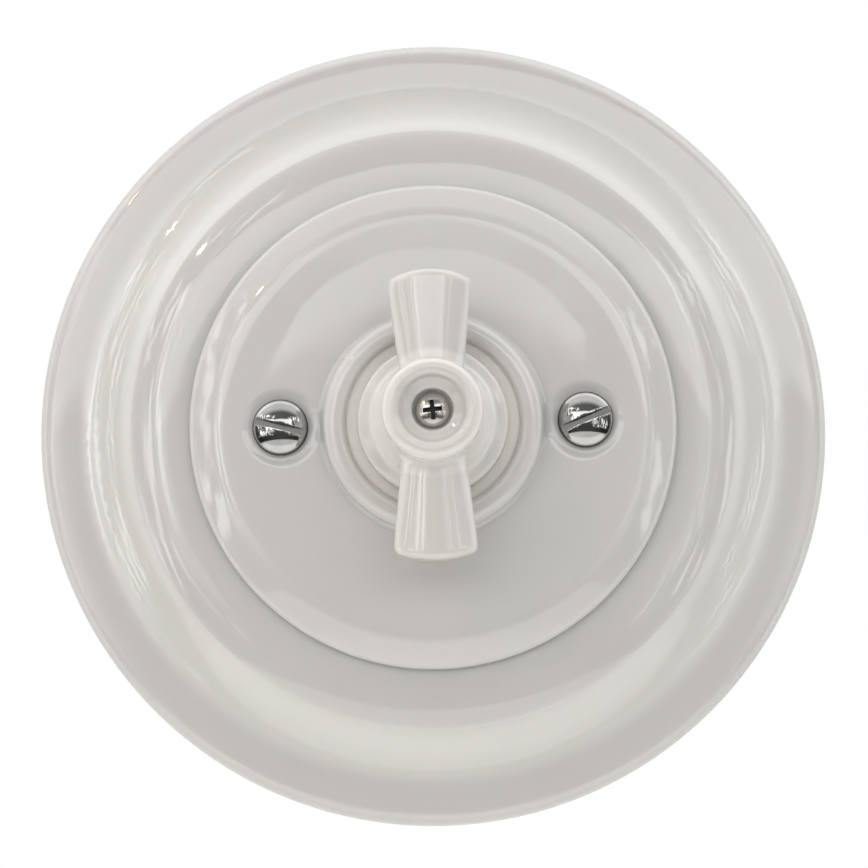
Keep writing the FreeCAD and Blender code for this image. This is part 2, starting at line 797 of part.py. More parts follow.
polar(base, [chamber, gate, wire_entry, access], 3, 180)

spring_seat = cell.cam_side / 2 + cell.spring_clearance
spring_depth = cam_depth + (cell.cam_thickness + cell.spring_width) / 2
spring_reach = base_cavity_radius + cell.spring_end_overlap
slot_inside = spring_seat - cell.spring_slot_clearance
slot_outside = spring_seat + cell.spring_thickness + cell.spring_slot_clearance
slot_end = spring_reach + cell.spring_slot_clearance
slot_start = cell.cam_side / 2
sketch = new_sketch(base, "XZ_Plane")
draw_box(sketch, slot_start, slot_end, slot_inside, slot_outside)
draw_box(sketch, -slot_end, -slot_start, slot_inside, slot_outside)
draw_box(sketch, slot_start, slot_end, -slot_outside, -slot_inside)
draw_box(sketch, -slot_end, -slot_start, -slot_outside, -slot_inside)
pocket(base, sketch, spring_depth)

sketch = new_sketch(base, "XZ_Plane")
draw_circle(sketch, housing_across, housing_up, cell.housing_hole_radius)
housing_hole = pocket(base, sketch, base_depth)
sketch = new_sketch(base, "XZ_Plane", -base_depth)
draw_hexagon(sketch, housing_across, housing_up,
             cell.housing_nut_flats + cell.housing_nut_clearance * 2)
nut_pocket = pocket(base, sketch, cell.housing_nut_thickness, forwards=True)
polar(base, [housing_hole, nut_pocket], 2, 360)


# Base cap. A moulded lid in the base's recess, with a neck through the plate whose bore is
# the front bearing of the spindle.

cap = new_piece("base_cap")
cap_bore_radius = spindle_journal_radius + cell.running_clearance
turn(cap, [
    (cap_bore_radius, -cell.cap_flange_thickness),
    (cap_flange_radius, -cell.cap_flange_thickness),
    (cap_flange_radius, 0),
    (cap_neck_radius, 0),
    (cap_neck_radius, cell.cap_neck_height),
    (cap_bore_radius, cell.cap_neck_height),
])
chamfer_circles(cap, [(cap_neck_radius, cell.cap_neck_height)], cell.cap_neck_chamfer)
sketch = new_sketch(cap, "XZ_Plane")
draw_circle(sketch, housing_across, housing_up, cell.housing_hole_radius)
draw_circle(sketch, -housing_across, -housing_up, cell.housing_hole_radius)
pocket(cap, sketch, cell.cap_flange_thickness)


# Housing screws and nuts. Two long screws through plate, cap and base into hexagon nuts.

housing_screws = []
housing_nuts = []
for side, angle in (("upper", HOUSING_SCREW_ANGLE), ("lower", HOUSING_SCREW_ANGLE + 180)):
    screw = new_body("housing_screw_" + side)
    domed_screw(screw, cell.housing_screw_radius, cell.plate_thickness + base_depth,
                cell.housing_screw_head_radius, cell.housing_screw_head_edge,
                cell.housing_screw_head_height - cell.housing_screw_head_edge)
    head_slot(screw, cell.housing_screw_head_height, cell.housing_screw_head_radius * 2,
              cell.housing_screw_slot_width, cell.housing_screw_slot_depth)
    set_at(screw, housing_circle_radius, angle, cell.plate_thickness)
    housing_screws.append(screw)
    nut = new_body("housing_nut_" + side)
    sketch = new_sketch(nut, "XZ_Plane")
    draw_hexagon(sketch, ZERO, ZERO, cell.housing_nut_flats)
    draw_circle(sketch, 0, 0, cell.housing_screw_radius + cell.thread_clearance)
    pad(nut, sketch, cell.housing_nut_thickness)
    set_at(nut, housing_circle_radius, angle, -base_depth)
    housing_nuts.append(nut)
new_group("housing_screws", housing_screws)
new_group("housing_nuts", housing_nuts)


# Spindle. Brass, with a square end for the knob, a journal, a collar under the cap, a square
# arbor for the cam and the carrier, and a rear journal in the base.

spindle = new_piece("spindle")
journal_top = cell.cap_neck_height + cell.spindle_journal_reach
spindle_collar_radius = spindle_journal_radius + cell.spindle_collar_width
turn(spindle, [
    (0, -cam_depth),
    (spindle_collar_radius, -cam_depth),
    (spindle_collar_radius, -collar_depth),
    (spindle_journal_radius, -collar_depth),
    (spindle_journal_radius, journal_top),
    (0, journal_top),
])
sketch = new_sketch(spindle, "XZ_Plane", journal_top)
draw_square(sketch, cell.spindle_square)
pad(spindle, sketch, spindle_end_height - journal_top)
sketch = new_sketch(spindle, "XZ_Plane", -arbor_end_depth)
draw_square(sketch, cell.spindle_arbor)
pad(spindle, sketch, arbor_end_depth - cam_depth)
sketch = new_sketch(spindle, "XZ_Plane", -(arbor_end_depth + cell.spindle_rear_length))
draw_circle(sketch, 0, 0, cell.spindle_rear_radius)
pad(spindle, sketch, cell.spindle_rear_length)
sketch = new_sketch(spindle, "XZ_Plane", spindle_end_height)
draw_circle(sketch, 0, 0, cell.knob_screw_radius + cell.thread_clearance)
pocket(spindle, sketch, cell.knob_screw_grip + cell.knob_screw_thread_room)


# Index cam. A moulded square with rounded corners. The leaf springs lie on its flats and
# hold it at each quarter turn.

cam = new_piece("index_cam")
sketch = new_sketch(cam, "XZ_Plane", -carrier_depth)
draw_rounded_square(sketch, cell.cam_side, cell.cam_corner_rounding)
draw_square(sketch, cell.spindle_arbor + cell.arbor_clearance * 2)
pad(cam, sketch, cell.cam_thickness)


# Leaf springs. Flat strips of spring steel whose ends lie in slots of the base.

for name, angle in (("upper", 0.0), ("lower", 180.0)):
    spring = new_piece("detent_spring_" + name)
    sketch = new_sketch(spring, "XZ_Plane", -spring_depth)
    draw_box(sketch, -spring_reach, spring_reach, spring_seat, spring_seat + cell.spring_thickness)
    pad(spring, sketch, cell.spring_width)
    spin(spring, angle)


# Contact carrier. A moulded sleeve on the arbor: a round flange in front of the blade and a
# square hub through it, so that no live part touches the spindle.

carrier = new_piece("contact_carrier")
sketch = new_sketch(carrier, "XZ_Plane", -blade_depth)
draw_circle(sketch, 0, 0, carrier_flange_radius)
pad(carrier, sketch, cell.carrier_flange_thickness)
sketch = new_sketch(carrier, "XZ_Plane", -arbor_end_depth)
draw_square(sketch, carrier_square)
pad(carrier, sketch, arbor_end_depth - blade_depth)
sketch = new_sketch(carrier, "XZ_Plane", -carrier_depth)
draw_square(sketch, cell.spindle_arbor + cell.arbor_clearance * 2)
pocket(carrier, sketch, arbor_end_depth - carrier_depth)


# Contact blade. Flat brass: a ring that the common jaw always touches, with two lobes that
# reach an output jaw at each quarter turn.

blade = new_piece("contact_blade")
sketch = new_sketch(blade, "XZ_Plane", -blade_back_depth)
draw_circle(sketch, 0, 0, blade_ring_radius)
pad(blade, sketch, cell.blade_thickness)
lobe_side = cell.blade_lobe_width / 2
lobe_reach = root(blade_radius * blade_radius - lobe_side * lobe_side)
sketch = new_sketch(blade, "XZ_Plane", -blade_back_depth)
draw_outline(sketch, [
    (lobe_reach, -lobe_side, blade_radius), (lobe_reach, lobe_side),
    (-lobe_reach, lobe_side, blade_radius), (-lobe_reach, -lobe_side),
])
pad(blade, sketch, cell.blade_thickness)
hub_hole = carrier_square + cell.arbor_clearance * 2
sketch = new_sketch(blade, "XZ_Plane", -blade_depth)
draw_square(sketch, hub_hole)
pocket(blade, sketch, cell.blade_thickness)
dress(blade, "Chamfer", edges_where(
    blade.Shape, lambda edge, middle: math.hypot(middle.x, middle.z) > blade_ring_radius.number
    and edge.Length > cell.blade_thickness.number * 1.5), cell.blade_edge_chamfer)


# Carrier ring. Pushed onto the hub behind the blade, to hold it against the flange.

ring = new_piece("carrier_ring")
sketch = new_sketch(ring, "XZ_Plane", -(blade_back_depth + cell.carrier_ring_thickness))
draw_circle(sketch, 0, 0, carrier_flange_radius)
draw_square(sketch, hub_hole)
pad(ring, sketch, cell.carrier_ring_thickness)


# Terminals. For each wire a brass block with a bore from behind, a clamp screw from the side,
# and a forked spring jaw riveted to its front, which takes the blade between its leaves.

jaw_back_front = blade_back_depth + cell.jaw_gap
jaw_front_back = blade_depth - cell.jaw_gap
jaw_front = jaw_front_back - cell.jaw_thickness
jaw_foot_radius = block_outer_radius - cell.jaw_foot_inset
clamp_tip_radius = wire_circle_radius + cell.wire_bore_radius + cell.clamp_screw_tip_gap
clamp_seat_radius = block_outer_radius + cell.clamp_screw_head_gap
rivet_hole_radius = cell.rivet_radius + cell.thread_clearance
terminal_screws = []
contact_rivets = []
for name, angle in TERMINAL_ANGLES.items():
    block = new_piece("terminal_block_" + name)
    sketch = new_sketch(block, "XZ_Plane", -block_back_depth)
    draw_box(sketch, block_inner_radius, block_outer_radius,
             -cell.block_width / 2, cell.block_width / 2)
    pad(block, sketch, cell.block_length)
    dress(block, "Chamfer", edges_where(
        block.Shape, lambda edge, middle: abs(middle.y - (block_back_depth.number
                                              - cell.block_length.number / 2)) < 1e-4),
          cell.block_edge_chamfer)
    sketch = new_sketch(block, "XZ_Plane", -block_back_depth)
    draw_circle(sketch, wire_circle_radius, 0, cell.wire_bore_radius)
    pocket(block, sketch, cell.wire_bore_length, forwards=True)
    sketch = new_sketch(block, "YZ_Plane", block_outer_radius)
    draw_circle(sketch, clamp_depth, 0, cell.clamp_screw_radius + cell.thread_clearance)
    pocket(block, sketch, block_outer_radius - wire_circle_radius)
    sketch = new_sketch(block, "XZ_Plane", -jaw_back_depth)
    draw_circle(sketch, rivet_circle_radius, 0, rivet_hole_radius)
    pocket(block, sketch, cell.rivet_length)
    spin(block, angle)

    jaw = new_piece("contact_jaw_" + name)
    reach = jaw_common_reach if name == "common" else jaw_output_reach
    flare_end = reach + cell.jaw_flare_length
    sketch = new_sketch(jaw, "XY_Plane")
    draw_outline(sketch, [
        (jaw_foot_radius, jaw_back_depth),
        (flare_end, jaw_back_depth),
        (reach, jaw_back_depth + cell.jaw_flare_rise),
        (reach, jaw_back_front + cell.jaw_flare_rise),
        (flare_end, jaw_back_front),
        (base_cavity_radius, jaw_back_front),
        (base_cavity_radius, jaw_front_back),
        (flare_end, jaw_front_back),
        (reach, jaw_front_back - cell.jaw_flare_rise),
        (reach, jaw_front - cell.jaw_flare_rise),
        (flare_end, jaw_front),
        (web_outside, jaw_front),
        (web_outside, jaw_back_front),
        (jaw_foot_radius, jaw_back_front),
    ])
    pad(jaw, sketch, cell.jaw_width, both_ways=True)
    sketch = new_sketch(jaw, "XZ_Plane", -jaw_back_front)
    draw_circle(sketch, rivet_circle_radius, 0, rivet_hole_radius)
    pocket(jaw, sketch, cell.jaw_thickness)
    spin(jaw, angle)

    screw = new_body("terminal_screw_" + name)
    domed_screw(screw, cell.clamp_screw_radius, clamp_seat_radius - clamp_tip_radius,
                cell.clamp_screw_head_radius, cell.clamp_screw_head_edge,
                cell.clamp_screw_head_height - cell.clamp_screw_head_edge)
    head_slot(screw, cell.clamp_screw_head_height, cell.clamp_screw_head_radius * 2,
              cell.clamp_screw_slot_width, cell.clamp_screw_slot_depth)
    outwards = Rotation(Vector(0, -1, 0), angle).multiply(Rotation(Vector(0, 0, 1), 90))
    screw.Placement = Placement(Vector(), outwards)
    set_at(screw, clamp_seat_radius, angle, -clamp_depth)
    terminal_screws.append(screw)

    rivet = new_body("contact_rivet_" + name)
    domed_screw(rivet, cell.rivet_radius, cell.rivet_length, cell.rivet_head_radius,
                cell.rivet_head_edge, cell.rivet_head_height - cell.rivet_head_edge)
    set_at(rivet, rivet_circle_radius, angle, -jaw_back_front)
    contact_rivets.append(rivet)
new_group("terminal_screws", terminal_screws)
new_group("contact_rivets", contact_rivets)


# Knob. One porcelain piece: a turned skirt and boss with a cup for the screw, a square socket
# for the spindle, and two wings lofted from a narrow root to a broad, lower tip.

knob = new_piece("knob")
knob_flank_height = knob_skirt_height + cell.knob_shoulder_rise
knob_waist_height = knob_flank_height + cell.knob_flank_rise
knob_dish_height = knob_seat_height + cell.knob_dish_depth
knob_cup_height = knob_dish_height + cell.knob_dish_rise
knob_top_height = knob_cup_height + cell.knob_cup_depth
skirt_edge = (knob_skirt_radius, knob_skirt_height)
flank_foot = (knob_flank_radius, knob_flank_height)
waist = (knob_waist_radius, knob_waist_height)
lip_corners = [(knob_boss_radius, knob_top_height), (knob_cup_radius, knob_top_height)]
hollow_radius = knob_skirt_radius - cell.knob_skirt_wall
hollow_height = knob_bottom_height + cell.knob_hollow_depth
turn(knob, [
    (cell.knob_screw_hole_radius, hollow_height),
    (hollow_radius, hollow_height),
    (hollow_radius, knob_bottom_height),
    (knob_skirt_radius, knob_bottom_height),
    skirt_edge,
    flank_foot,
    waist,
    lip_corners[0],
    lip_corners[1],
    (knob_cup_radius, knob_cup_height),
    (knob_dish_radius, knob_dish_height),
    (knob_dish_radius, knob_seat_height),
    (cell.knob_screw_hole_radius, knob_seat_height),
])
round_circles(knob, [skirt_edge], cell.knob_skirt_rounding)
round_circles(knob, [flank_foot], cell.knob_flank_rounding)
round_circles(knob, [waist], cell.knob_waist_rounding)
round_circles(knob, lip_corners, cell.knob_lip_rounding)


def wing_section(distance, width, bottom, top):
    """A section of the wing across its length: a flat underside and a crowned top, with round
    corners that run smoothly into the crown."""
    side = width / 2
    corner = cell.wing_corner_rounding
    rise = cell.wing_crown_rise
    crown = (side * side + rise * rise) / (rise * 2)
    crown_centre = top - crown
    corner_height = crown_centre + root((crown - corner) * (crown - corner)
                                        - (side - corner) * (side - corner))
    blend = crown / (crown - corner)
    crown_side = (side - corner) * blend
    crown_height = crown_centre + (corner_height - crown_centre) * blend
    section = new_sketch(knob, "XY_Plane", distance)
    draw_outline(section, [
        (-crown_side, -crown_height, crown),
        (crown_side, -crown_height, corner),
        (side, -corner_height),
        (side, -bottom - corner, corner),
        (side - corner, -bottom),
        (corner - side, -bottom, corner),
        (-side, -bottom - corner),
        (-side, -corner_height, corner),
    ])
    return section


wing_length = knob_boss_radius + cell.wing_reach
root_bottom = knob_skirt_height + cell.wing_root_gap
tip_bottom = knob_skirt_height + cell.wing_tip_gap
root_section = wing_section(cell.wing_root_distance, cell.wing_root_width,
                            root_bottom, root_bottom + cell.wing_root_thickness)
tip_section = wing_section(wing_length, cell.wing_tip_width,
                           tip_bottom, tip_bottom + cell.wing_tip_thickness)
wing = knob.newObject("PartDesign::AdditiveLoft", "knob_wing")
wing.Profile = root_section
wing.Sections = [tip_section]
doc.recompute()

end_side = cell.wing_tip_width / 2
end_radius = (end_side * end_side + cell.wing_end_bow * cell.wing_end_bow) / (cell.wing_end_bow * 2)
end_start = wing_length - cell.wing_end_bow
sketch = new_sketch(knob, "XZ_Plane", knob_top_height)
draw_outline(sketch, [
    (end_side, end_start, end_radius),
    (-end_side, end_start),
    (-end_side, wing_length + cell.wing_end_bow),
    (end_side, wing_length + cell.wing_end_bow),
])
wing_end = pocket(knob, sketch, knob_top_height - knob_bottom_height)
polar(knob, [wing, wing_end], 2, 360)
dress(knob, "Fillet", edges_where(
    knob.Shape, lambda edge, middle: abs(middle.z) > end_start.number * 0.95),
      cell.wing_end_rounding)

sketch = new_sketch(knob, "XZ_Plane", hollow_height)
draw_square(sketch, cell.spindle_square + cell.knob_socket_clearance * 2)
pocket(knob, sketch, spindle_end_height - hollow_height, forwards=True)


# Knob screw. A small cross-headed screw in the cup of the knob, tapped into the spindle.

knob_screw = new_piece("knob_screw")
domed_screw(knob_screw, cell.knob_screw_radius, cell.knob_web + cell.knob_screw_grip,
            cell.knob_screw_head_radius, cell.knob_screw_head_edge,
            cell.knob_screw_head_height - cell.knob_screw_head_edge)
head_slot(knob_screw, cell.knob_screw_head_height, cell.knob_screw_cross_length / 2,
          cell.knob_screw_cross_width, cell.knob_screw_cross_depth)
head_slot(knob_screw, cell.knob_screw_head_height, cell.knob_screw_cross_width / 2,
          cell.knob_screw_cross_length, cell.knob_screw_cross_depth)
spin(knob_screw, KNOB_SCREW_CROSS_ANGLE)
set_at(knob_screw, 0, 0, knob_seat_height)


# Finish: check every object and write one file for each piece

doc.recompute()
for item in doc.Objects:
    if "Invalid" in item.State or "Error" in item.State:
        raise RuntimeError("%s failed: %s" % (item.Name, item.State))
for piece in pieces:
    if piece.Shape.isNull() or not piece.Shape.isValid():
        raise RuntimeError("%s has no valid shape" % piece.Label)
os.makedirs("parts", exist_ok=True)
for piece in pieces:
    piece.Shape.exportStep("parts/%s.step" % piece.Label)
    print(piece.Label, len(piece.Shape.Solids), round(piece.Shape.Volume, 2))
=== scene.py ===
"""A round porcelain rotary switch for a wall box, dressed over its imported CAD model.

X points right, Z up and Y into the wall, so the room is on the negative side of Y and the wall
plane is at zero. The sections follow the order in which the switch is put together."""

import math

import bmesh
import bpy
from mathutils import Matrix, Vector


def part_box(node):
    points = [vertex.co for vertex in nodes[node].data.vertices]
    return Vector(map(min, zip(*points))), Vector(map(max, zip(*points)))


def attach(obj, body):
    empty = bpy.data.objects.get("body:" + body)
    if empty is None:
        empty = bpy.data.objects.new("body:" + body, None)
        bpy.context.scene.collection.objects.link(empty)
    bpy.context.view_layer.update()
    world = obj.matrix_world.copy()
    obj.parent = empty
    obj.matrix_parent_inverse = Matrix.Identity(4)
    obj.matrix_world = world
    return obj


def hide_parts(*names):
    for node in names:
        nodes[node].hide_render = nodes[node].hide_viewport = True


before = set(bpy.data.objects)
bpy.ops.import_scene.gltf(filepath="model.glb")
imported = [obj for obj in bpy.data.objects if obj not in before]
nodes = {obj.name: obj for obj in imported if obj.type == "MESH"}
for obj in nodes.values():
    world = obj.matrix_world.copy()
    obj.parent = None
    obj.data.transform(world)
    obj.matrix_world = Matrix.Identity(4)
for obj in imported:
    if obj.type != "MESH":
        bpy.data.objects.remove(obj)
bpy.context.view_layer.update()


# Mounting plate. Steel sheet, pressed into a round plate with four slots, so that its edges are
# rolled a little by the die. It is zinc plated in a barrel, which leaves a bluish silver skin
# with a soft grain. The box screws hold it on the wall box.

MM = 0.001
MERGE_DISTANCE = 0.002 * MM
FLAT_ANGLE = math.radians(0.3)
SHARP_ANGLE = math.radians(28)


def new_piece(name, mesh, material, body, slot, *replaced):
    """A finished mesh as a piece that rides on a body in the place of the CAD nodes."""
    for face in mesh.polygons:
        face.use_smooth = True
    mesh.materials.clear()
    mesh.materials.append(material)
    piece = bpy.data.objects.new(name, mesh)
    bpy.context.scene.collection.objects.link(piece)
    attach(piece, body)
    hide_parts(*replaced)
    return piece


def solid_form(node):
    """A CAD node's triangles joined into one closed form, with its flat faces made whole."""
    form = bmesh.new()
    form.from_mesh(nodes[node].data)
    bmesh.ops.remove_doubles(form, verts=form.verts, dist=MERGE_DISTANCE)
    bmesh.ops.dissolve_limit(form, angle_limit=FLAT_ANGLE, verts=form.verts, edges=form.edges)
    return form


def rounded(node, width, material, body, slot):
    """A CAD node with its sharp edges rounded to this width, in the node's place."""
    form = solid_form(node)
    sharp = [edge for edge in form.edges
             if edge.is_manifold and edge.calc_face_angle() > SHARP_ANGLE]
    bmesh.ops.bevel(form, geom=sharp, affect="EDGES", offset=width, offset_type="OFFSET",
                    segments=2, profile=0.5, material=-1, clamp_overlap=True)
    mesh = bpy.data.meshes.new(node + "_finish")
    form.to_mesh(mesh)
    form.free()
    piece = new_piece(node + "_finish", mesh, material, body, slot, node)
    even = piece.modifiers.new("even_shading", "WEIGHTED_NORMAL")
    even.keep_sharp = True


def linear(code):
    """An sRGB hex colour as linear light."""
    levels = [int(code[start:start + 2], 16) / 255 for start in (1, 3, 5)]
    return [level / 12.92 if level <= 0.04045 else ((level + 0.055) / 1.055) ** 2.4
            for level in levels] + [1.0]


def new_material(name):
    """A material with nothing in it but its output."""
    material = bpy.data.materials.new(name)
    material.use_nodes = True
    tree = material.node_tree
    tree.nodes.remove(tree.nodes["Principled BSDF"])
    return material


def add_node(owner, kind, settings=(), links=()):
    """Add a shader node. Settings are its own properties or unlinked inputs, and links are
    inputs fed by the output of another node. The two sides of a Mix are its inputs 2 and 3 for
    numbers, and 6 and 7 for colours."""
    tree = owner.node_tree
    node = tree.nodes.new("ShaderNode" + kind)
    for key, value in dict(settings).items():
        if isinstance(key, int) or key in node.inputs:
            node.inputs[key].default_value = value
        else:
            setattr(node, key, value)
    for key, source in dict(links).items():
        tree.links.new(source, node.inputs[key])
    return node


def finish_material(material, shader):
    """Join the shader to the material's output."""
    output = material.node_tree.nodes["Material Output"]
    material.node_tree.links.new(shader.outputs[0], output.inputs["Surface"])
    return material


# Zinc plated steel: crystals of about 1.5 mm show as faint changes of tone, and the barrel
# leaves fine dents of 0.3 mm that blur what it mirrors.
zinc = new_material("zinc_plated_steel")
place = add_node(zinc, "TexCoord").outputs["Object"]
crystals = add_node(zinc, "TexVoronoi", {"Scale": 1 / (1.5 * MM)}, {"Vector": place})
cloud = add_node(zinc, "TexNoise", {"Scale": 1 / (9 * MM), "Detail": 4.0}, {"Vector": place})
dents = add_node(zinc, "TexNoise", {"Scale": 1 / (0.3 * MM), "Detail": 2.0}, {"Vector": place})
tone = add_node(zinc, "Mix", {"data_type": "RGBA", 6: linear("#A9AEB4"), 7: linear("#C9CDD1")},
                {0: cloud.outputs["Fac"]})
facets = add_node(zinc, "SeparateColor", {}, {0: crystals.outputs["Color"]})
shift = add_node(zinc, "MapRange", {"To Min": 0.0, "To Max": 0.22}, {"Value": facets.outputs[0]})
skin = add_node(zinc, "Mix", {"data_type": "RGBA", 7: linear("#DFE2E4")},
                {0: shift.outputs[0], 6: tone.outputs[2]})
gloss = add_node(zinc, "MapRange", {"To Min": 0.26, "To Max": 0.46},
                 {"Value": cloud.outputs["Fac"]})
bump = add_node(zinc, "Bump", {"Strength": 0.4, "Distance": 0.01 * MM},
                {"Height": dents.outputs["Fac"]})
shader = add_node(zinc, "BsdfPrincipled", {"Metallic": 1.0},
                  {"Base Color": skin.outputs[2], "Roughness": gloss.outputs[0],
                   "Normal": bump.outputs[0]})
finish_material(zinc, shader)
rounded("mounting_plate", 0.25 * MM, zinc, "fixed", "zinc_plated_steel")


# Pillars. Two round brass posts, turned, bored and tapped right through, and riveted into the
# plate. The cover screws run into them. The lathe leaves fine rings round each post.

def turned_metal(name, dark, light, roughness, mark):
    """Metal with the marks of the lathe or of the rolls, which run across Y and lie this far
    apart. A slight tarnish changes its tone and its gloss."""
    material = new_material(name)
    place = add_node(material, "TexCoord").outputs["Object"]
    tarnish = add_node(material, "TexNoise", {"Scale": 1 / (6 * MM), "Detail": 5.0},
                       {"Vector": place})
    squeeze = add_node(material, "Mapping", {"Scale": (0.05, 1.0, 0.05)}, {"Vector": place})
    marks = add_node(material, "TexNoise", {"Scale": 1 / mark, "Detail": 2.0},
                     {"Vector": squeeze.outputs[0]})
    tone = add_node(material, "Mix", {"data_type": "RGBA", 6: linear(dark), 7: linear(light)},
                    {0: tarnish.outputs["Fac"]})
    gloss = add_node(material, "MapRange", {"To Min": roughness * 0.6, "To Max": roughness * 1.5},
                     {"Value": tarnish.outputs["Fac"]})
    bump = add_node(material, "Bump", {"Strength": 0.25, "Distance": 0.01 * MM},
                    {"Height": marks.outputs["Fac"]})
    shader = add_node(material, "BsdfPrincipled", {"Metallic": 1.0},
                      {"Base Color": tone.outputs[2], "Roughness": gloss.outputs[0],
                       "Normal": bump.outputs[0]})
    return finish_material(material, shader)


turned_brass = turned_metal("turned_brass", "#A9823A", "#D3AD5C", 0.26, 0.12 * MM)
for side in ("left", "right"):
    rounded("pillar_" + side, 0.15 * MM, turned_brass, "fixed", "turned_brass")


# Base and cap. The base is a cup of steatite behind the plate, pressed from powder and fired
# without a glaze, and the cap is its lid, whose neck is the front bearing. Steatite is cream and
# dull, its edges are soft, and the fired skin has a fine grain and a few darker grains.

steatite = new_material("pressed_steatite")
place = add_node(steatite, "TexCoord").outputs["Object"]
cloud = add_node(steatite, "TexNoise", {"Scale": 1 / (8 * MM), "Detail": 3.0}, {"Vector": place})
grain = add_node(steatite, "TexNoise", {"Scale": 1 / (0.35 * MM), "Detail": 3.0},
                 {"Vector": place})
specks = add_node(steatite, "TexVoronoi", {"Scale": 1 / (1.6 * MM)}, {"Vector": place})
tone = add_node(steatite, "Mix", {"data_type": "RGBA", 6: linear("#D3C9B3"), 7: linear("#E7DFCD")},
                {0: cloud.outputs["Fac"]})
dots = add_node(steatite, "MapRange", {"From Min": 0.05, "From Max": 0.09, "To Min": 0.35,
                                       "To Max": 0.0}, {"Value": specks.outputs["Distance"]})
skin = add_node(steatite, "Mix", {"data_type": "RGBA", 7: linear("#8F8571")},
                {0: dots.outputs[0], 6: tone.outputs[2]})
bump = add_node(steatite, "Bump", {"Strength": 0.45, "Distance": 0.03 * MM},
                {"Height": grain.outputs["Fac"]})
gloss = add_node(steatite, "MapRange", {"To Min": 0.5, "To Max": 0.72},
                 {"Value": cloud.outputs["Fac"]})
shader = add_node(steatite, "BsdfPrincipled", {},
                  {"Base Color": skin.outputs[2], "Roughness": gloss.outputs[0],
                   "Normal": bump.outputs[0]})
finish_material(steatite, shader)
rounded("switch_base", 0.3 * MM, steatite, "fixed", "steatite")
rounded("base_cap", 0.2 * MM, steatite, "fixed", "steatite")


# Housing screws and nuts. Two slotted screws from the front clamp base and cap on the plate,
# with a hexagon nut behind the base. They are zinc plated like the plate.

rounded("housing_screws", 0.1 * MM, zinc, "fixed", "zinc_plated_screw")
rounded("housing_nuts", 0.15 * MM, zinc, "fixed", "zinc_plated_screw")


# Spindle. One brass bar, turned to its journals and collar and milled square at both ends. It
# runs in the base and in the neck of the cap, and the knob is drawn on its front end.

rounded("spindle", 0.1 * MM, turned_brass, "rotor", "turned_brass")


# Cam, contact carrier and carrier ring. Three mouldings of dark brown thermoset on the square of
# the spindle. The mould was polished, so they are half glossy, and the filler shows as flecks.

thermoset = new_material("moulded_thermoset")
place = add_node(thermoset, "TexCoord").outputs["Object"]
cloud = add_node(thermoset, "TexNoise", {"Scale": 1 / (2.5 * MM), "Detail": 4.0},
                 {"Vector": place})
flecks = add_node(thermoset, "TexNoise", {"Scale": 1 / (0.25 * MM), "Detail": 2.0},
                  {"Vector": place})
tone = add_node(thermoset, "Mix", {"data_type": "RGBA", 6: linear("#22140D"), 7: linear("#3E271A")},
                {0: cloud.outputs["Fac"]})
gloss = add_node(thermoset, "MapRange", {"To Min": 0.28, "To Max": 0.5},
                 {"Value": flecks.outputs["Fac"]})
shader = add_node(thermoset, "BsdfPrincipled", {},
                  {"Base Color": tone.outputs[2], "Roughness": gloss.outputs[0]})
finish_material(thermoset, shader)
for node in ("index_cam", "contact_carrier", "carrier_ring"):
    rounded(node, 0.12 * MM, thermoset, "rotor", "thermoset")


# Detent springs. Two leaves of hardened strip lie on the flats of the cam and make it click.
# The temper leaves a grey blue film that changes along the strip.

spring_steel = new_material("blued_spring_steel")
place = add_node(spring_steel, "TexCoord").outputs["Object"]
film = add_node(spring_steel, "TexNoise", {"Scale": 1 / (5 * MM), "Detail": 2.0},
                {"Vector": place})
tone = add_node(spring_steel, "Mix",
                {"data_type": "RGBA", 6: linear("#5C646F"), 7: linear("#84807A")},
                {0: film.outputs["Fac"]})
gloss = add_node(spring_steel, "MapRange", {"To Min": 0.22, "To Max": 0.38},
                 {"Value": film.outputs["Fac"]})
shader = add_node(spring_steel, "BsdfPrincipled", {"Metallic": 1.0},
                  {"Base Color": tone.outputs[2], "Roughness": gloss.outputs[0]})
finish_material(spring_steel, shader)
for node in ("detent_spring_upper", "detent_spring_lower"):
    nodes[node].data.materials.clear()
    nodes[node].data.materials.append(spring_steel)


# Contact blade and jaws. The blade is a ring of hard brass strip with two lobes, held on the
# carrier, and each jaw is a folded strip of bronze that grips it. Both keep the finish that the
# rolls gave the strip, a bright metal with fine marks.

rolled_brass = turned_metal("rolled_contact_brass", "#B8903F", "#DDBB6B", 0.2, 0.2 * MM)
rolled_bronze = turned_metal("rolled_spring_bronze", "#9C6A3C", "#C8925C", 0.24, 0.2 * MM)
rounded("contact_blade", 0.06 * MM, rolled_brass, "rotor", "contact_brass")
for post in ("one", "two", "common"):
    rounded("contact_jaw_" + post, 0.06 * MM, rolled_bronze, "fixed", "spring_bronze")


# Terminal blocks, rivets and terminal screws. Each block is sawn from drawn brass bar, bored for
# its wire and tapped for its screw, and a brass rivet holds the jaw on it. The screws are steel,
# zinc plated.

block_brass = turned_metal("drawn_terminal_brass", "#A47E38", "#CFA955", 0.32, 0.16 * MM)
for post in ("one", "two", "common"):
    rounded("terminal_block_" + post, 0.12 * MM, block_brass, "fixed", "terminal_brass")
rounded("contact_rivets", 0.08 * MM, rolled_brass, "fixed", "contact_brass")
rounded("terminal_screws", 0.1 * MM, zinc, "fixed", "zinc_plated_screw")
